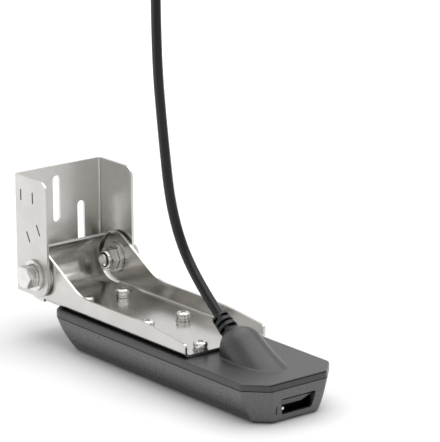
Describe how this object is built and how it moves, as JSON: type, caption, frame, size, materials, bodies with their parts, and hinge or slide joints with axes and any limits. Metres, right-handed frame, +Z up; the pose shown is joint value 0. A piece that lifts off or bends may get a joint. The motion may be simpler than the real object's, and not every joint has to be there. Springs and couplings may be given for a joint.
{
  "type": "sonar transducer",
  "caption": "Transom-mount sonar transducer: sealed plastic hull with a cable boss, screwed to a stainless bracket that pivots in a slotted transom bracket.",
  "frame": {"origin": "centre of the hull's flat bottom face", "axes": "+X aft along the hull towards the cable end, +Y to starboard, +Z up out of the hull's top"},
  "size_m": [0.3073, 0.11, 0.3421],
  "materials": {
    "hull_plastic": "fine moulded grain, dark grey",
    "cover_plastic": "fine moulded grain, dark grey",
    "seal_rubber": "matt black rubber",
    "ceramic": "silvered ceramic",
    "carrier_plastic": "glass-filled nylon",
    "potting_resin": "cast black resin",
    "board": "green laminate",
    "probe_steel": "polished stainless steel",
    "brass": "turned brass",
    "cable_jacket": "black jacket, satin",
    "relief_rubber": "moulded black rubber",
    "plug_plastic": "moulded black plastic",
    "plug_metal": "plated metal",
    "pins": "gold-plated pins",
    "bracket_steel": "brushed stainless sheet",
    "transom_steel": "brushed stainless sheet",
    "screw_steel": "bright stainless steel",
    "bolt_steel": "bright stainless steel",
    "washer_steel": "stamped stainless steel",
    "nylon": "dark nylon"
  },
  "bodies": {
    "transom_mount": {"transom_bracket": "transom_steel", "spacer_washers": "washer_steel", "head_washers": "washer_steel", "head_lock_washers": "bolt_steel", "nut_washers": "washer_steel", "pivot_bolts": "bolt_steel", "lock_nuts": "bolt_steel", "nut_rings": "nylon"},
    "transducer": {"hull_shell": "hull_plastic", "top_cover": "cover_plastic", "cover_seal": "seal_rubber", "temperature_probe": "probe_steel", "bracket_inserts": "brass", "down_element": "ceramic", "side_element_port": "ceramic", "side_element_starboard": "ceramic", "sonar_element": "ceramic", "element_carrier": "carrier_plastic", "potting": "potting_resin", "circuit_board": "board", "strain_relief": "relief_rubber", "cable_seal": "seal_rubber", "cable": "cable_jacket", "connector_body": "plug_plastic", "connector_barrel": "plug_metal", "connector_pins": "pins", "transducer_bracket": "bracket_steel", "bracket_pad": "seal_rubber", "screw_washers": "washer_steel", "screw_lock_washers": "screw_steel", "bracket_screws": "screw_steel"}
  },
  "joints": [
    {"name": "tilt", "type": "hinge", "parent": "transom_mount", "child": "transducer", "pos_m": [-0.1495, 0, 0.0555], "axis": [0, -1, 0], "range_deg": [-45, 90]}
  ]
}
